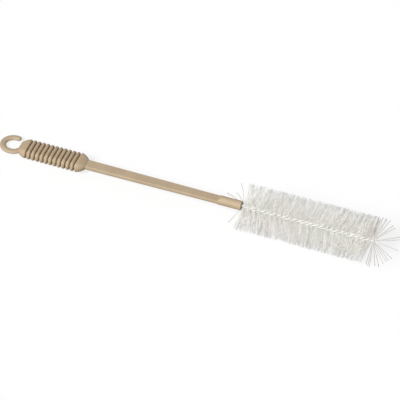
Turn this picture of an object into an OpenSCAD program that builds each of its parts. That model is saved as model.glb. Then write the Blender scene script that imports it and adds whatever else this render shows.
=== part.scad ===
// Bottle brush: a one-piece moulded handle with a hook, and a twisted-in-wire nylon brush head.
// It lies on a flat surface, on the back end of its handle and the first bristles of its head.
// X runs from the hook to the tip of the brush, Y across the flat of the grip, Z up.

/* [Hook] */
// Radius of the hook's ring, to the middle of its bar
hook_ring_r = 10.9; // [9:0.1:14]
// Width of the hook's oval bar, across the plane of its ring
hook_bar_w = 6.6; // [5:0.1:8]
// Thickness of that bar
hook_bar_t = 4; // [3:0.1:6]
// Where the hook's free end stops, round from the grip's side of the ring
hook_open_angle = 82; // [70:1:110]
// From the middle of the ring to the back end of the grip
hook_reach = 7.4; // [6.5:0.1:8]
// How far the ring sits to the side of its free end
hook_offset = 0.9; // [0:0.1:2]

/* [Grip] */
// Width of the grip
grip_w = 25.5; // [20:0.5:32]
// Thickness of the grip, whose long edges are half round
grip_h = 11.6; // [8:0.1:14]
// Length of the smooth cap at the hook's end
back_cap_len = 10.6; // [8:0.1:20]
// Width of that cap at its end
back_end_w = 12.6; // [11:0.1:19]
// Thickness of that cap at its end
back_end_h = 4; // [2.8:0.1:6]
// Length of the smooth cap at the shaft's end
front_cap_len = 10.3; // [8:0.1:20]
// Width of that cap at its end
front_end_w = 12.6; // [12:0.1:19]
// Thickness of that cap at its end
front_end_h = 5.2; // [4:0.1:7]
// Rounding of both caps' end edges
cap_edge_r = 1.2; // [0.4:0.1:1.3]
// Number of finger ribs
rib_count = 11; // [3:1:20]
// Distance from one rib to the next
rib_pitch = 4.82; // [4:0.01:7]
// Radius of a rib's round crest
rib_crest_r = 1.85; // [1.2:0.05:1.95]
// Depth of the grooves between the ribs
groove_depth = 3.3; // [1.2:0.05:3.4]

/* [Shaft] */
// Length of the flattened shaft, from the grip to where its flats end
shaft_len = 143.5; // [80:0.5:220]
// Diameter of the shaft's round sides where it leaves the grip
shaft_back_d = 11.6; // [9.5:0.1:12.5]
// Distance between the shaft's flats where it leaves the grip
shaft_back_t = 4.8; // [4:0.1:8]
// Distance between the shaft's flats at its front end
shaft_front_t = 4.2; // [3.6:0.1:8]
// Radius in which each flat runs out
flat_runout_r = 4.5; // [3:0.1:8]

/* [Socket] */
// Diameter of the round nose that holds the wire
nose_d = 10; // [8:0.1:12]
// Length of the nose, from where the flats end
nose_len = 27; // [26:0.5:50]
// Rounding of the nose's front edge
nose_edge_r = 0.8; // [0.3:0.1:1.5]
// Depth of the hole that the wire sits in
socket_depth = 22; // [12:0.5:24]
// Room round the wire in its hole
socket_clear = 0.05; // [0.02:0.01:0.2]

/* [Wire] */
// Diameter of the coated wire
wire_d = 1.7; // [1.2:0.05:2.4]
// Length of one full turn of the twist
wire_pitch = 11.4; // [9:0.1:20]

/* [Bristles] */
// Diameter of the brush head
head_d = 50; // [30:1:70]
// Length of the wire that carries bristles, from the nose to the wire's tip
head_len = 145; // [60:0.5:200]
// Gap between the nose and the first bristles
head_gap = 1.5; // [0.5:0.1:6]
// Thickness of one bundle of bristles
bundle_d = 0.7; // [0.5:0.05:0.9]
// Distance along the wire from one bundle to the next
bundle_step = 0.6; // [0.45:0.05:0.8]
// Gap between the wire and the bristles that it grips
grip_clear = 0.05; // [0.02:0.01:0.1]
// Direction of the bristles at the tip, up from level
tip_angle = 47; // [0:1:90]
// Number of bundles in each half of the tuft at the tip
tuft_count = 7; // [3:1:9]
// How far the tuft's bundles reach
tuft_reach = 26; // [12:0.5:40]
// Lean of the tuft's steepest bundle off the brush's own line
tuft_wide_angle = 84; // [70:1:86]
// Lean of the tuft's flattest bundle
tuft_narrow_angle = 9; // [5:1:25]

/* [Hidden] */
$fn = 72;
beige = [0.80, 0.71, 0.60];
white = [0.95, 0.95, 0.94];
nylon = [0.88, 0.88, 0.86];
// How far one shape of the moulding runs into the next
overlap = 3;
// Arcs cross the flats beside them by this little, rather than only touching them
crossing = 0.05;
sliver = 0.01;
cap_sides = 32;

// Stations along the brush, measured from the hook's outer end
ring_centre = hook_ring_r + hook_bar_w / 2;
grip_back = ring_centre + hook_reach;
ribs_back = grip_back + back_cap_len;
ribs_front = ribs_back + (rib_count + 1) * rib_pitch - 2 * rib_crest_r;
grip_front = ribs_front + front_cap_len;
flats_end = grip_front + shaft_len;
nose_front = flats_end + nose_len;
wire_tip = nose_front + head_len;

// Grip: half-round long edges of varying size about a flat spine
edge_r = grip_h / 2;
spine_w = grip_w - grip_h;
core_r = edge_r - groove_depth;

// Wire: two strands side by side, with one bundle's thickness between them
strand_gap = bundle_d + 2 * grip_clear;
strand_r = (strand_gap + wire_d) / 2;
wire_r = strand_r + wire_d / 2;
fold_start = wire_tip - wire_r;
// Its strands are cut off square to themselves, so their edges reach back past the middle of the cut
wire_back = nose_front - socket_depth + socket_clear + wire_d / 2;
// Facets of its skin
slices_per_turn = 12;
strand_sides = 10;
fold_steps = 8;
ease_steps = 5;

// Bristles: each bundle lies square to the wire and turns with the strands
head_start = nose_front + head_gap + bundle_d / 2;
head_end = fold_start - 2 * bundle_d;
bundle_count = floor((head_end - head_start) / bundle_step) + 1;
tuft_waist = wire_r + bundle_d / 2 + grip_clear;

// The bundles' direction at a station, and the first station where one points straight down
function bundle_angle(x) = 90 + tip_angle + 360 * (fold_start - x) / wire_pitch;
touch_turn = (bundle_angle(head_start) % 180) / 360;
head_touch = head_start + touch_turn * wire_pitch;

// Rest: the brush tips up on its first bristles until its hook or its grip's back cap touches too
head_edge = head_touch - bundle_d / 2;
hook_tilt = atan((head_d - hook_bar_t) / 2 / (head_edge - hook_bar_w / 2));
grip_touch = ribs_back - rib_crest_r;
grip_touch_r = edge_r - (grip_h - back_end_h) / 2 * pow(rib_crest_r / back_cap_len, 2);
grip_tilt = atan((head_d / 2 - grip_touch_r) / (head_edge - grip_touch));
rest_tilt = min(hook_tilt, grip_tilt);
rest_lift = head_d / 2 * cos(rest_tilt) - head_edge * sin(rest_tilt);
rest_middle = (fold_start + tuft_reach) / 2 * cos(rest_tilt);

// Turns what is built upright along Z to lie along X, in its place on the surface
module at_rest() {
    translate([-rest_middle, 0, rest_lift])
        rotate([0, 90 - rest_tilt, 0])
            children();
}

// A domed end of the grip, built up from its outer end to the first groove
module cap(cap_len, end_w, end_h) {
    // How far the skin is rounded off at a height, by the end edge and by the shoulder at the groove
    function edge(z) = cap_edge_r - sqrt(pow(cap_edge_r, 2) - pow(max(0, cap_edge_r - z), 2));
    function shoulder(z) =
        rib_crest_r - sqrt(pow(rib_crest_r, 2) - pow(max(0, z - cap_len + rib_crest_r), 2));
    // What is left of the dome's fall at a height, from 1 at the end to 0 at the groove
    function fall(z) = pow(1 - z / cap_len, 2);
    arc_steps = 4;
    dome_steps = 5;
    arc = [for (i = [0 : arc_steps]) sin(90 * i / arc_steps)];
    dome_len = cap_len - rib_crest_r - cap_edge_r;
    heights = concat(
        [for (a = arc) cap_edge_r * (1 - a)],
        [for (i = [1 : dome_steps - 1]) cap_edge_r + dome_len * i / dome_steps],
        [for (a = arc) cap_len - rib_crest_r * (1 - a)]
    );
    hull()
        for (z = heights, side = [-1, 1]) {
            inset = edge(z) + shoulder(z);
            r = edge_r - (grip_h - end_h) / 2 * fall(z) - inset;
            half_w = grip_w / 2 - (grip_w - end_w) / 2 * fall(z) - inset;
            translate([0, side * (half_w - r), min(z, cap_len - sliver)])
                cylinder(h = sliver, r = r, $fn = cap_sides);
        }
}

// Half of the outline of the ribs: round crests on straight webs, on a narrower core
module rib_profile() {
    web_w = 2 * (rib_crest_r - crossing);
    translate([0, ribs_back - overlap])
        square([core_r, ribs_front - ribs_back + 2 * overlap]);
    for (i = [1 : rib_count])
        translate([0, ribs_back - rib_crest_r + i * rib_pitch]) {
            translate([edge_r - rib_crest_r, 0])
                circle(rib_crest_r);
            translate([0, -web_w / 2])
                square([edge_r - rib_crest_r, web_w]);
        }
}

// The ribs: a flat slab between two half-turned edges
module ribs() {
    translate([0, spine_w / 2, 0])
        rotate([90, 0, 0])
            linear_extrude(spine_w)
                for (side = [0, 1])
                    mirror([side, 0])
                        rib_profile();
    for (side = [0, 1])
        mirror([0, side, 0])
            translate([0, spine_w / 2, 0])
                rotate_extrude(angle = 180)
                    rib_profile();
}

// Corners of the bar's oval section, from one direction round its middle to another
function bar_corners(from, to) =
    [for (turn = [from : 15 : to]) [hook_bar_w / 2 * cos(turn), hook_bar_t / 2 * sin(turn)]];

// An open ring with a round free end, rooted in the grip's back cap
module hook() {
    root_angle = 350;
    translate([0, hook_offset, ring_centre])
        rotate([0, -90, 0])
            rotate([0, 0, hook_open_angle]) {
                rotate_extrude(angle = root_angle - hook_open_angle)
                    translate([hook_ring_r, 0])
                        polygon(bar_corners(0, 345));
                translate([hook_ring_r, 0, 0])
                    rotate([0, 0, 180])
                        rotate_extrude(angle = 180)
                            polygon(bar_corners(-90, 90));
            }
}

// What one flat takes off the round bar, with its round run-out at the front
module flat_cut() {
    translate([0, shaft_back_d, 0])
        rotate([90, 0, 0])
            linear_extrude(2 * shaft_back_d) {
                polygon([
                    [shaft_back_t / 2, grip_front - 2 * overlap],
                    [shaft_front_t / 2, flats_end],
                    [shaft_back_d, flats_end],
                    [shaft_back_d, grip_front - 2 * overlap]
                ]);
                translate([shaft_front_t / 2 - crossing + flat_runout_r, flats_end])
                    circle(flat_runout_r);
            }
}

// The plain round end that the wire is set in, with a rounded front edge
module nose() {
    translate([0, 0, flats_end])
        rotate_extrude()
            intersection() {
                offset(r = nose_edge_r, $fn = 32)
                    translate([-nose_d / 2 + nose_edge_r, -nose_len])
                        square([nose_d - 2 * nose_edge_r, 2 * nose_len - nose_edge_r]);
                translate([0, -overlap])
                    square([nose_d, 2 * nose_len]);
            }
}

// The round bar that tapers to the nose, with its two flats
module shaft() {
    difference() {
        union() {
            translate([0, 0, grip_front - overlap])
                cylinder(h = shaft_len + overlap, d1 = shaft_back_d, d2 = nose_d - 2 * crossing);
            nose();
        }
        for (side = [0, 1])
            mirror([side, 0, 0])
                flat_cut();
    }
}

// Hook, grip, shaft and nose in one moulding, with the hole for the wire
module handle() {
    color(beige)
        at_rest()
            difference() {
                union() {
                    hook();
                    translate([0, 0, grip_back])
                        cap(back_cap_len, back_end_w, back_end_h);
                    ribs();
                    translate([0, 0, grip_front])
                        mirror([0, 0, 1])
                            cap(front_cap_len, front_end_w, front_end_h);
                    shaft();
                }
                translate([0, 0, nose_front - socket_depth])
                    cylinder(h = socket_depth + overlap, r = wire_r + socket_clear);
            }
}

// One wire, folded at the tip and twisted on itself with a left-hand lay: rings of corners
// along one strand, round the fold and back along the other, joined into one closed skin
module twisted_wire() {
    twist_len = fold_start - wire_back;
    steps = ceil(twist_len / wire_pitch * slices_per_turn);
    // The strand's slope, which eases off over its last few steps into the fold
    slope = atan(2 * PI * strand_r / wire_pitch);
    function slope_at(i) = slope * min(1, (steps - i) / ease_steps);
    function out_angle(x) = bundle_angle(x) + 90;
    // Each ring is [middle, one half-width, the other half-width] of the strand's round section
    function strand_ring(i, side) =
        let (x = wire_back + twist_len * i / steps, turn = out_angle(x) + side * 180, lean = slope_at(i))
        [
            [strand_r * cos(turn), strand_r * sin(turn), x],
            wire_d / 2 * [cos(turn), sin(turn), 0],
            wire_d / 2 * [-sin(turn) * cos(lean), cos(turn) * cos(lean), sin(lean)]
        ];
    function fold_ring(bend) =
        let (turn = out_angle(fold_start), out = [cos(turn) * cos(bend), sin(turn) * cos(bend), sin(bend)])
        [
            [0, 0, fold_start] + strand_r * out,
            wire_d / 2 * out,
            wire_d / 2 * [-sin(turn), cos(turn), 0]
        ];
    // Coming back along the other strand the section is passed the other way round
    function turned(ring) = [ring[0], ring[1], -ring[2]];
    rings = concat(
        [for (i = [0 : steps]) strand_ring(i, 0)],
        [for (i = [1 : fold_steps - 1]) fold_ring(180 * i / fold_steps)],
        [for (i = [steps : -1 : 0]) turned(strand_ring(i, 1))]
    );
    corners = [
        for (ring = rings, k = [0 : strand_sides - 1])
            ring[0] + cos(360 * k / strand_sides) * ring[1] + sin(360 * k / strand_sides) * ring[2]
    ];
    last = len(rings) - 1;
    function corner(i, k) = i * strand_sides + k % strand_sides;
    faces = concat(
        [[for (k = [0 : strand_sides - 1]) k]],
        [for (i = [0 : last - 1], k = [0 : strand_sides - 1])
            [corner(i, k), corner(i + 1, k), corner(i + 1, k + 1)]],
        [for (i = [0 : last - 1], k = [0 : strand_sides - 1])
            [corner(i, k), corner(i + 1, k + 1), corner(i, k + 1)]],
        [[for (k = [strand_sides - 1 : -1 : 0]) corner(last, k)]]
    );
    color(white)
        at_rest()
            polyhedron(corners, faces);
}

// The filaments gripped between the strands, as bundles that each pass right through
module bristles() {
    color(nylon)
        at_rest()
            for (i = [0 : bundle_count - 1]) {
                x = head_start + i * bundle_step;
                translate([0, 0, x])
                    rotate([0, 90, bundle_angle(x)])
                        cylinder(h = head_d, d = bundle_d, center = true);
            }
}

// The last filaments, which pass through the wire's fold and fan out past the tip
module tip_tuft() {
    lean_step = (tuft_wide_angle - tuft_narrow_angle) / (tuft_count - 1);
    color(nylon)
        at_rest()
            translate([0, 0, fold_start])
                rotate([0, 0, bundle_angle(fold_start)]) {
                    rotate([0, 90, 0])
                        cylinder(h = 2 * tuft_waist, d = bundle_d, center = true);
                    for (side = [0, 1])
                        mirror([side, 0, 0])
                            translate([tuft_waist, 0, 0]) {
                                sphere(d = bundle_d + 2 * crossing);
                                for (i = [0 : tuft_count - 1])
                                    rotate([0, tuft_narrow_angle + i * lean_step, 0])
                                        cylinder(h = tuft_reach, d = bundle_d);
                            }
                }
}

handle();
twisted_wire();
bristles();
tip_tuft();
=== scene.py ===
import bpy
import math
import numpy as np
from mathutils import Matrix, Vector


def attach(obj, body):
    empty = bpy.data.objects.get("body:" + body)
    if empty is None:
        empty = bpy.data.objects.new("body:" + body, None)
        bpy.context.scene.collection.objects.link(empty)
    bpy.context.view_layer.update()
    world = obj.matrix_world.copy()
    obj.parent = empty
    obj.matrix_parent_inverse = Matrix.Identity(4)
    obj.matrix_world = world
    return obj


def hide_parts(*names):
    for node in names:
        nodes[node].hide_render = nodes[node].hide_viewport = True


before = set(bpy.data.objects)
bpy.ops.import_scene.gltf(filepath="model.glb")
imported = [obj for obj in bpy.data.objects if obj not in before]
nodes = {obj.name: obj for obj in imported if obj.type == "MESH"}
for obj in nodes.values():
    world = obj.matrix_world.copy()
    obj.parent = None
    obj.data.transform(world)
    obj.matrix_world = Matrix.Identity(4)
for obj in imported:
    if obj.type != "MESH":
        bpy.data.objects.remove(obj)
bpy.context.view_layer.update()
mm = 0.001


def points(node):
    mesh = nodes[node].data
    flat = np.empty(len(mesh.vertices) * 3, np.float32)
    mesh.vertices.foreach_get("co", flat)
    return flat.reshape(-1, 3).astype(float)


# The brush's own line, read from its packed wire: x runs along the brush from the hook's
# outer end, y across the flat of the grip, z out of the flat. It leans up by its rest tilt.
def brushLine():
    corners = points("twisted_wire")
    middle = corners.mean(axis=0)
    spread = corners - middle
    along = np.linalg.svd(spread.T @ spread)[0][:, 0]
    along[1] = 0
    along *= math.copysign(1 / np.linalg.norm(along), along[0])
    middle[1] = 0
    hookEnd = ((points("handle") - middle) @ along).min()
    return Vector(middle + along * hookEnd), Vector(along)


def axesAt(x, y, z, place):
    matrix = Matrix((x, y, z)).transposed().to_4x4()
    matrix.translation = place
    return matrix


origin, alongBrush = brushLine()
acrossBrush = Vector((0, 1, 0))
toWorld = axesAt(alongBrush, acrossBrush, alongBrush.cross(acrossBrush), origin)
turnToWorld = np.array(toWorld.to_3x3())


# How far along the brush a node starts and ends
def stations(node):
    reach = (points(node) - np.array(origin)) @ np.array(alongBrush)
    return float(reach.min()), float(reach.max())


wireBack, wireTip = stations("twisted_wire")
noseFront = stations("handle")[1]
print("frame read: nose at %.1f mm, wire tip at %.1f mm" % (noseFront / mm, wireTip / mm))


# Colours are written as sRGB hex and used as linear light
def colour(code):
    parts = [int(code[i:i + 2], 16) / 255 for i in (1, 3, 5)]
    return [p / 12.92 if p <= 0.04045 else ((p + 0.055) / 1.055) ** 2.4 for p in parts] + [1]


def setStops(ramp, stops):
    for i, (place, code) in enumerate(stops):
        element = ramp.elements[i] if i < 2 else ramp.elements.new(place)
        element.position = place
        element.color = colour(code)


# Settings are a node's own values, its sockets' values, or the stops of a colour ramp
def addNode(tree, kind, settings=None, links=None):
    node = tree.nodes.new(kind)
    for name, value in (settings or {}).items():
        if name == "stops":
            setStops(node.color_ramp, value)
        elif isinstance(name, int) or name in node.inputs:
            node.inputs[name].default_value = value
        else:
            setattr(node, name, value)
    for name, source in (links or {}).items():
        tree.links.new(source, node.inputs[name])
    return node


# Sockets of a Mix node that mixes colours, which share their names with its other sockets
mixShare, mixFirst, mixSecond, mixResult = 0, 6, 7, 2


def newMaterial(name):
    material = bpy.data.materials.new(name)
    material.use_nodes = True
    material.node_tree.nodes.clear()
    return material, material.node_tree


# Moulded polypropylene, pigmented beige: satin, with the faint orange peel and clouding that a
# moulding has
handlePlastic = {
    "tints": [(0.30, "#bea88c"), (0.70, "#c5b194")],
    "cloudSize": 14 * mm,
    "peelSize": 1.2 * mm,
    "peelDepth": 0.02 * mm,
    "peelStrength": 0.5,
    "roughness": 0.55,
    "specular": 0.25,
    "ior": 1.49,
}


def mouldedPolypropylene(s):
    material, tree = newMaterial("mouldedPolypropylene")
    place = addNode(tree, "ShaderNodeTexCoord").outputs["Object"]
    cloud = addNode(
        tree, "ShaderNodeTexNoise",
        {"Scale": 1 / s["cloudSize"], "Detail": 3.0}, {"Vector": place},
    ).outputs["Fac"]
    peel = addNode(
        tree, "ShaderNodeTexNoise",
        {"Scale": 1 / s["peelSize"], "Detail": 1.0}, {"Vector": place},
    ).outputs["Fac"]
    bump = addNode(
        tree, "ShaderNodeBump",
        {"Strength": s["peelStrength"], "Distance": s["peelDepth"]}, {"Height": peel},
    )
    tint = addNode(tree, "ShaderNodeValToRGB", {"stops": s["tints"]}, {"Fac": cloud})
    shader = addNode(
        tree, "ShaderNodeBsdfPrincipled",
        {"Roughness": s["roughness"], "IOR": s["ior"], "Specular IOR Level": s["specular"]},
        {"Base Color": tint.outputs["Color"], "Normal": bump.outputs["Normal"]},
    )
    addNode(tree, "ShaderNodeOutputMaterial", links={"Surface": shader.outputs["BSDF"]})
    return material


# Steel wire with a white polymer coat: smooth and glossy, slightly uneven where it was twisted
wireCoat = {
    "tints": [(0.35, "#eceeeb"), (0.65, "#f7f8f6")],
    "streakSize": 2 * mm,
    "streakDepth": 0.02 * mm,
    "streakStrength": 0.3,
    "roughness": 0.28,
    "ior": 1.5,
}


def coatedWire(s):
    material, tree = newMaterial("whiteCoatedWire")
    place = addNode(tree, "ShaderNodeTexCoord").outputs["Object"]
    streak = addNode(
        tree, "ShaderNodeTexNoise",
        {"Scale": 1 / s["streakSize"], "Detail": 2.0}, {"Vector": place},
    ).outputs["Fac"]
    bump = addNode(
        tree, "ShaderNodeBump",
        {"Strength": s["streakStrength"], "Distance": s["streakDepth"]}, {"Height": streak},
    )
    tint = addNode(tree, "ShaderNodeValToRGB", {"stops": s["tints"]}, {"Fac": streak})
    shader = addNode(
        tree, "ShaderNodeBsdfPrincipled",
        {"Roughness": s["roughness"], "IOR": s["ior"]},
        {"Base Color": tint.outputs["Color"], "Normal": bump.outputs["Normal"]},
    )
    addNode(tree, "ShaderNodeOutputMaterial", links={"Surface": shader.outputs["BSDF"]})
    return material


# Drawn nylon monofilament, unpigmented and satin. Its colour carries painted light and shade:
# near white where filaments crowd, as painted light that they give each other, and grey on lone ones,
# as painted shade for a clear filament against a bright ground, greyer still towards their cut ends
nylonFilament = {
    "paintedCrowdLightToLoneShade": [(0.0, "#fffdfa"), (0.35, "#fdfbf7"), (0.60, "#f8f7f5"),
                       (0.75, "#c4beb7"), (1.0, "#9f9790")],
    "patchSize": 16 * mm,
    "patches": [(0.35, "#fffaf6"), (0.50, "#fffefa"), (0.65, "#fdfef9")],
    "roughness": 0.45,
    "ior": 1.53,
}


def drawnNylon(s):
    material, tree = newMaterial("drawnNylonFilament")
    place = addNode(tree, "ShaderNodeTexCoord").outputs["Object"]
    # Painted light and shade: each ring's place between the crowded white and the lone grey
    lightShadeShare = addNode(tree, "ShaderNodeAttribute", {"attribute_name": "paintedLightShadeShare"}).outputs["Fac"]
    white = addNode(tree, "ShaderNodeValToRGB", {"stops": s["paintedCrowdLightToLoneShade"]}, {"Fac": lightShadeShare})
    patch = addNode(
        tree, "ShaderNodeTexNoise",
        {"Scale": 1 / s["patchSize"], "Detail": 2.0}, {"Vector": place},
    ).outputs["Fac"]
    cast = addNode(tree, "ShaderNodeValToRGB", {"stops": s["patches"]}, {"Fac": patch})
    tint = addNode(
        tree, "ShaderNodeMix", {"data_type": "RGBA", "blend_type": "MULTIPLY", mixShare: 1.0},
        {mixFirst: white.outputs["Color"], mixSecond: cast.outputs["Color"]},
    )
    shader = addNode(
        tree, "ShaderNodeBsdfPrincipled",
        {"Roughness": s["roughness"], "IOR": s["ior"]},
        {"Base Color": tint.outputs[mixResult]},
    )
    addNode(tree, "ShaderNodeOutputMaterial", links={"Surface": shader.outputs["BSDF"]})
    return material


polypropylene = mouldedPolypropylene(handlePlastic)
whiteCoat = coatedWire(wireCoat)
nylon = drawnNylon(nylonFilament)
print("materials made")


def finishPiece(piece, material, slot, *replaced):
    piece.data.materials.clear()
    piece.data.materials.append(material)
    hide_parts(*replaced)
    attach(piece, "root")


def linkNew(name, data):
    piece = bpy.data.objects.new(name, data)
    bpy.context.scene.collection.objects.link(piece)
    return piece


def selectOnly(piece):
    bpy.ops.object.select_all(action="DESELECT")
    piece.select_set(True)
    bpy.context.view_layer.objects.active = piece


# Handle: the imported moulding, welded and shaded smooth over its rounded ribs and caps
handle = {"weld": 0.002 * mm, "smoothAngle": 32.0}


def makeHandle():
    piece = nodes["handle"].copy()
    piece.data = nodes["handle"].data.copy()
    piece.name = "mouldedHandle"
    for name in [k for k in piece.keys() if k.startswith("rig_")]:
        del piece[name]
    piece.parent = None
    bpy.context.scene.collection.objects.link(piece)
    selectOnly(piece)
    bpy.ops.object.mode_set(mode="EDIT")
    bpy.ops.mesh.select_all(action="SELECT")
    bpy.ops.mesh.customdata_custom_splitnormals_clear()
    bpy.ops.mesh.remove_doubles(threshold=handle["weld"])
    bpy.ops.object.mode_set(mode="OBJECT")
    bpy.ops.object.shade_smooth_by_angle(angle=math.radians(handle["smoothAngle"]))
    finishPiece(piece, polypropylene, "handle_plastic", "handle")


makeHandle()
print("handle finished")


# Wire: one round wire folded in half at the tip, its two legs twisted left-handed on each other
wire = {
    "radius": 0.85 * mm,
    "gap": 0.8 * mm,
    "pitch": 11.4 * mm,
    "foldTurn": 47.0,
    "pointsPerTurn": 28,
    "foldPoints": 12,
    "roundness": 4,
    "smoothAngle": 40.0,
}
strandOut = wire["radius"] + wire["gap"] / 2
foldStart = wireTip - strandOut - wire["radius"]


# The direction in which the gap between the legs faces, in degrees round the brush from its y
def gapTurn(x):
    return wire["foldTurn"] + 360 * (foldStart - x) / wire["pitch"]


# A point of the wire at x, out from the brush's line towards where one leg is at turnedAt
def wirePoint(x, out, turnedAt):
    turn = math.radians(gapTurn(turnedAt) + 90)
    return (x, out * math.cos(turn), out * math.sin(turn))


def wirePath():
    steps = int((foldStart - wireBack) / wire["pitch"] * wire["pointsPerTurn"])
    leg = [wireBack + (foldStart - wireBack) * i / steps for i in range(steps + 1)]
    path = [wirePoint(x, strandOut, x) for x in leg]
    for i in range(1, wire["foldPoints"]):
        a = math.pi * i / wire["foldPoints"]
        path.append(wirePoint(foldStart + strandOut * math.sin(a), strandOut * math.cos(a), foldStart))
    return path + [wirePoint(x, -strandOut, x) for x in reversed(leg)]


def makeWire():
    path = wirePath()
    curve = bpy.data.curves.new("foldedWire", "CURVE")
    curve.dimensions = "3D"
    curve.bevel_depth = wire["radius"]
    curve.bevel_resolution = wire["roundness"]
    curve.use_fill_caps = True
    spline = curve.splines.new("POLY")
    spline.points.add(len(path) - 1)
    for point, place in zip(spline.points, path):
        point.co = (*place, 1)
    selectOnly(linkNew("foldedWire", curve))
    bpy.ops.object.convert(target="MESH")
    piece = bpy.context.object
    piece.data.transform(toWorld)
    bpy.ops.object.shade_smooth_by_angle(angle=math.radians(wire["smoothAngle"]))
    finishPiece(piece, whiteCoat, "coated_wire", "twisted_wire")


makeWire()
print("wire finished")


# One filament, drawn out ring by ring from a square section; every other is a copy of it. Its
# rings are turned from a direction close to the brush's line that no filament runs along.
filament = {"sides": 4, "segments": 7, "turnedFrom": (1.0, 0.02, 0.03)}


def filamentPattern():
    bpy.ops.object.select_all(action="DESELECT")
    bpy.ops.mesh.primitive_circle_add(vertices=filament["sides"], radius=1, fill_type="NGON")
    piece = bpy.context.object
    bpy.ops.object.mode_set(mode="EDIT")
    bpy.ops.mesh.select_all(action="SELECT")
    for i in range(filament["segments"]):
        bpy.ops.mesh.extrude_region_move(TRANSFORM_OT_translate={"value": (0, 0, 1)})
    bpy.ops.mesh.select_all(action="SELECT")
    bpy.ops.mesh.normals_make_consistent(inside=False)
    bpy.ops.object.mode_set(mode="OBJECT")
    corners = np.array([v.co for v in piece.data.vertices])
    faces = [list(f.vertices) for f in piece.data.polygons]
    bpy.data.objects.remove(piece)
    return corners, faces


patternCorners, patternFaces = filamentPattern()
patternRing = np.rint(patternCorners[:, 2]).astype(int)


# The corners of a copy of the pattern along each path, square on to the path at every ring
def cornersAlong(paths, radii):
    ahead = np.gradient(paths, axis=1)
    ahead /= np.linalg.norm(ahead, axis=2, keepdims=True)
    side = np.cross(ahead, np.array(filament["turnedFrom"]))
    side /= np.linalg.norm(side, axis=2, keepdims=True)
    other = np.cross(ahead, side)
    offset = (side[:, patternRing] * patternCorners[None, :, 0:1]
              + other[:, patternRing] * patternCorners[None, :, 1:2])
    corners = paths[:, patternRing] + offset * radii[:, None, None]
    return corners.reshape(-1, 3) @ turnToWorld.T + np.array(origin)


# Paths is filaments by rings by 3, in brush metres, and shades is filaments by rings: each ring's
# place on the nylon's ramp from painted light to painted shade
def layFilaments(name, paths, radii, shades):
    corners = cornersAlong(paths, radii)
    step = np.arange(len(paths))[:, None] * len(patternCorners)
    loops = (np.concatenate(patternFaces)[None] + step).reshape(-1)
    sizes = np.tile([len(f) for f in patternFaces], len(paths))
    starts = np.concatenate([[0], np.cumsum(sizes)[:-1]])
    mesh = bpy.data.meshes.new(name)
    mesh.vertices.add(len(corners))
    mesh.vertices.foreach_set("co", corners.reshape(-1).astype(np.float32))
    mesh.loops.add(len(loops))
    mesh.loops.foreach_set("vertex_index", loops.astype(np.int32))
    mesh.polygons.add(len(sizes))
    mesh.polygons.foreach_set("loop_start", starts.astype(np.int32))
    mesh.polygons.foreach_set("loop_total", sizes.astype(np.int32))
    mesh.polygons.foreach_set("use_smooth", np.ones(len(sizes), bool))
    mesh.update(calc_edges=True)
    # Each ring's place between painted light and painted shade, for the nylon's ramp
    shade = mesh.attributes.new("paintedLightShadeShare", "FLOAT", "POINT")
    shade.data.foreach_set("value", shades[:, patternRing].reshape(-1).astype(np.float32))
    return linkNew(name, mesh)


# Head: each filament passes between the wire's legs and stands out on both sides of it, splayed
# round the wire from the gap's direction and swept towards the tip. Along one side they part
# and show the wire. Turns are in degrees round the brush from its y, and sweeps are in degrees
# off the square, each at its share of the way from the nose to the tip.
head = {
    "radius": 25.8 * mm,
    "start": noseFront + 1.6 * mm,
    "end": foldStart - 1.2 * mm,
    "scatter": 0.2 * mm,
    "filaments": 1220,
    "thickness": 0.18 * mm,
    "thinToThick": (0.85, 1.15),
    "exit": 1.0 * mm,
    "splay": 88.0,
    "partingTurn": 137.0,
    "partingPush": 52.0,
    "partingEdge": 2.0,
    "gather": 12.0,
    "upperSweeps": [(0.0, 0.0), (0.12, 14.0), (0.85, 14.0), (1.0, 6.0)],
    "lowerSweeps": [(0.0, -9.0), (0.12, 3.0), (0.72, 3.0), (0.90, -15.0), (1.0, -15.0)],
    "nearSweep": 6.0,
    "bunch": 6,
    "unevenLean": (1.2, 1.2),
    "unevenTrim": (1.3 * mm, 0.1 * mm),
    "bend": np.array([0.5, 0.35, 0.35]) * mm,
    "endShade": 0.6,
    "pieces": 2,
    "seed": 12,
}


# Directions near the parting are pushed away from it on both sides, and gather beside it
def parted(turn):
    off = (turn - head["partingTurn"] + 180) % 360 - 180
    off += head["partingPush"] * np.tanh(off / head["partingEdge"]) * (1 - np.abs(off) / 180)
    return head["partingTurn"] + off + head["gather"] * np.sin(np.radians(2 * off))


def outward(turn):
    turn = np.radians(turn)
    return np.stack([np.zeros_like(turn), np.cos(turn), np.sin(turn)], axis=-1)


# How far each ring of half a filament is from the wire to its tip, between 0 and 1
halfShare = np.linspace(0, 1, (filament["segments"] + 1) // 2)


# Neighbours lean and are cut nearly alike, so that the rim is a row of small points
def uneven(rng, count, spreads):
    bunches = rng.normal(0, spreads[0], count // head["bunch"] + 1)
    return np.repeat(bunches, head["bunch"])[:count] + rng.normal(0, spreads[1], count)


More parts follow.
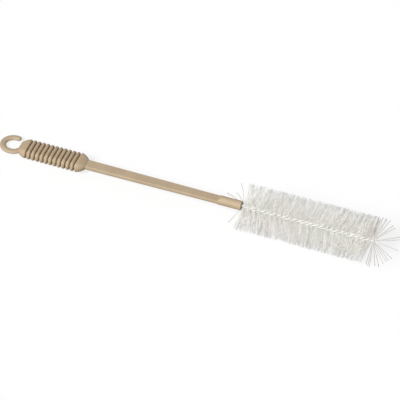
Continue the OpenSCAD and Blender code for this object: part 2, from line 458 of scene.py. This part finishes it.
# One half of each filament, from where it leaves the wire to its tip
def halfFilaments(rng, x, share, side):
    count = len(x)
    gap = gapTurn(x) + 180 * side
    turn = parted(gap + rng.uniform(-head["splay"], head["splay"], count))
    upper = (1 + np.cos(np.radians(turn - wire["foldTurn"]))) / 2
    near = np.cos(np.radians(turn - head["partingTurn"]))
    sweep = upper * np.interp(share, *zip(*head["upperSweeps"])) + head["nearSweep"] * near
    sweep += (1 - upper) * np.interp(share, *zip(*head["lowerSweeps"]))
    lean = np.radians(sweep + uneven(rng, count, head["unevenLean"]))
    reach = head["radius"] - np.abs(uneven(rng, count, head["unevenTrim"]))
    root = outward(gap) * head["exit"]
    root[:, 0] = x
    tip = outward(turn) * reach[:, None]
    tip[:, 0] = x + reach * np.tan(lean)
    bend = rng.normal(0, 1, (count, 3)) * head["bend"]
    t = halfShare[None, :, None]
    return root[:, None] * (1 - t) + tip[:, None] * t + bend[:, None] * t * (1 - t)


# Tips that would pass into the table are bent up on to it
def onTable(paths):
    up = turnToWorld[2]
    into = np.minimum(0, paths @ up + origin.z - head["thickness"])
    return paths - into[..., None] * up


def makeHead():
    rng = np.random.default_rng(head["seed"])
    count = head["filaments"]
    share = np.linspace(0, 1, count)
    x = head["start"] + (head["end"] - head["start"]) * share + rng.normal(0, head["scatter"], count)
    halves = [halfFilaments(rng, x, share, 1)[:, ::-1], halfFilaments(rng, x, share, 0)]
    paths = onTable(np.concatenate(halves, axis=1))
    radii = head["thickness"] / 2 * rng.uniform(*head["thinToThick"], count)
    wayOut = np.concatenate([halfShare[::-1], halfShare])
    # Painted light at the roots, where the filaments crowd, and a little greyer towards the tips
    shades = np.broadcast_to(head["endShade"] * wayOut, paths.shape[:2])
    edges = np.linspace(0, count, head["pieces"] + 1).astype(int)
    for i in range(head["pieces"]):
        part = slice(edges[i], edges[i + 1])
        piece = layFilaments("headFilaments%d" % (i + 1), paths[part], radii[part], shades[part])
        finishPiece(piece, nylon, "nylon", "bristles")


makeHead()
print("head finished")


# Loose filaments: those in the wire's fold fan out in one plane past the tip, and a few at the
# nose stand back over the handle. Each has its lean off the square towards the tip, in degrees,
# and its length in millimetres.
loose = {
    "thickness": 0.56 * mm,
    "thinToThick": (0.8, 1.15),
    "unevenLean": 1.0,
    "bend": 0.9 * mm,
    "strayCurl": 1.5 * mm,
    "offNose": 1.5 * mm,
    "fanUpper": [(-1, 25), (6, 26), (15, 27), (21, 26), (27, 27.5), (38, 26), (47, 26.5),
                 (70, 33), (75, 32)],
    "fanLower": [(-3, 25), (3, 26), (10, 27), (20, 26), (28, 27.5), (38, 26), (48, 25.5),
                 (57, 26), (61, 27), (85, 28)],
    "atNoseUpper": [(-21, 24), (-41, 16), (-70, 22)],
    "atNoseLower": [(-27, 22.5)],
    "rootToEndShade": (0.68, 0.80),
    "cutShade": 1.0,
    "seed": 5,
}


def loosePaths(rng, x, turn, leans, curl=0):
    t = np.linspace(0, 1, filament["segments"] + 1)[:, None]
    along, away = np.array([1, 0, 0]), outward(np.array(turn))
    paths = []
    for lean, length in leans:
        a = math.radians(lean + rng.normal(0, loose["unevenLean"]))
        way = math.sin(a) * along + math.cos(a) * away
        square = math.cos(a) * along - math.sin(a) * away
        bend = np.cross(way, rng.normal(0, 1, 3)) * rng.normal(0, loose["bend"])
        straight = x * along + t * length * mm * way
        paths.append(straight + t * t * bend + 4 * t * (1 - t) * curl * square)
    return paths


def makeLoose():
    rng = np.random.default_rng(loose["seed"])
    upper, lower = wire["foldTurn"], wire["foldTurn"] + 180
    fan = loosePaths(rng, foldStart, upper, loose["fanUpper"])
    fan += loosePaths(rng, foldStart, lower, loose["fanLower"])
    atNose = noseFront + loose["offNose"]
    strays = loosePaths(rng, atNose, upper, loose["atNoseUpper"], loose["strayCurl"])
    strays += loosePaths(rng, atNose, lower, loose["atNoseLower"])
    # Painted shade: loose filaments are grey along their length and greyest at their cut ends
    shade = np.linspace(*loose["rootToEndShade"], filament["segments"] + 1)
    shade[-1] = loose["cutShade"]
    for name, paths, replaced in (("tipFan", fan, "tip_tuft"), ("noseStrays", strays, "bristles")):
        radii = loose["thickness"] / 2 * rng.uniform(*loose["thinToThick"], len(paths))
        shades = np.tile(shade, (len(paths), 1))
        finishPiece(layFilaments(name, np.array(paths), radii, shades), nylon, "nylon", replaced)


makeLoose()
print("loose filaments finished")


# 1 for rays from the camera, in reflections and through glass, and 0 for the light between things
def seenRays(tree):
    path = addNode(tree, "ShaderNodeLightPath").outputs
    add = {"operation": "ADD", "use_clamp": True}
    seen = addNode(tree, "ShaderNodeMath", add, {0: path["Is Camera Ray"], 1: path["Is Glossy Ray"]})
    seen = addNode(tree, "ShaderNodeMath", add, {0: seen.outputs[0], 1: path["Is Transmission Ray"]})
    return seen.outputs[0]


# Floor: a white paper sweep. To the camera and in reflections it is lifted almost to white, so
# that the brush's shadow on it stays faint.
floor = {"size": 12.0, "below": 0.05 * mm, "unseen": "#9c9c9c", "seen": "#858585", "lift": 0.80}


def paperSweep():
    material, tree = newMaterial("whitePaperSweep")
    seen = seenRays(tree)
    lift = addNode(tree, "ShaderNodeMath", {"operation": "MULTIPLY", 1: floor["lift"]}, {0: seen})
    whiteness = addNode(
        tree, "ShaderNodeMix",
        {"data_type": "RGBA", mixFirst: colour(floor["unseen"]), mixSecond: colour(floor["seen"])},
        {mixShare: seen},
    )
    paper = addNode(tree, "ShaderNodeBsdfDiffuse", links={"Color": whiteness.outputs[mixResult]})
    glow = addNode(tree, "ShaderNodeEmission", {"Color": (1, 1, 1, 1)}, {"Strength": lift.outputs[0]})
    both = addNode(tree, "ShaderNodeAddShader", links={0: paper.outputs[0], 1: glow.outputs[0]})
    addNode(tree, "ShaderNodeOutputMaterial", links={"Surface": both.outputs[0]})
    return material


def makeFloor():
    bpy.ops.object.select_all(action="DESELECT")
    bpy.ops.mesh.primitive_plane_add(size=floor["size"], location=(0, 0, -floor["below"]))
    piece = bpy.context.object
    piece.name = "paperFloor"
    piece.data.materials.append(paperSweep())


makeFloor()

# Light: an even white room, and one broad soft lamp from above on the near side, by the hook
light = {
    "room": 0.20,
    "roomSeen": 1.0,
    "lamp": 3.10,
    "from": (-0.25, -0.72, 0.65),
    "softness": 20.0,
}


def makeLight():
    world = bpy.data.worlds.new("whiteRoom")
    bpy.context.scene.world = world
    world.use_nodes = True
    tree = world.node_tree
    tree.nodes.clear()
    strength = addNode(
        tree, "ShaderNodeMapRange",
        {"To Min": light["room"], "To Max": light["roomSeen"]}, {"Value": seenRays(tree)},
    ).outputs[0]
    room = addNode(tree, "ShaderNodeBackground", {"Color": (1, 1, 1, 1)}, {"Strength": strength})
    addNode(tree, "ShaderNodeOutputWorld", links={"Surface": room.outputs[0]})
    lamp = bpy.data.lights.new("broadLamp", "SUN")
    lamp.energy = light["lamp"]
    lamp.angle = math.radians(light["softness"])
    turn = Vector(light["from"]).to_track_quat("Z", "Y")
    linkNew("broadLamp", lamp).rotation_euler = turn.to_euler()


makeLight()

# Camera: a long lens, looking down on the near side, turned until the brush runs down the frame.
# It is placed by the brush's own line, and aims at a point along it and a little below it.
view = {
    "azimuth": 19.6,
    "elevation": 41.0,
    "roll": 1.77,
    "lens": 600.0,
    "sensor": 36.0,
    "width": 410.9 * mm,
    "aimAlong": 222.6 * mm,
    "aimBelow": 5.25 * mm,
    "farClip": 40.0,
}


def makeCamera():
    a, e = math.radians(view["azimuth"]), math.radians(view["elevation"])
    right = Vector((math.cos(a), math.sin(a), 0))
    back = Vector((math.sin(a) * math.cos(e), -math.cos(a) * math.cos(e), math.sin(e)))
    roll = Matrix.Rotation(math.radians(view["roll"]), 3, back)
    right, up = roll @ right, roll @ back.cross(right)
    alongSeen = Vector((1, 0, 0)) - back * back.x
    belowSeen = back.cross(alongSeen).normalized() * -1
    aim = Vector((view["aimAlong"], 0, 0)) + belowSeen * view["aimBelow"]
    distance = view["width"] * view["lens"] / view["sensor"]
    camera = bpy.data.cameras.new("longLens")
    camera.lens = view["lens"]
    camera.sensor_width = view["sensor"]
    camera.clip_end = view["farClip"]
    piece = linkNew("longLens", camera)
    piece.matrix_world = toWorld @ axesAt(right, up, back, aim + back * distance)
    bpy.context.scene.camera = piece


makeCamera()
bpy.context.scene.view_settings.view_transform = "Standard"
print("floor, light and camera set")
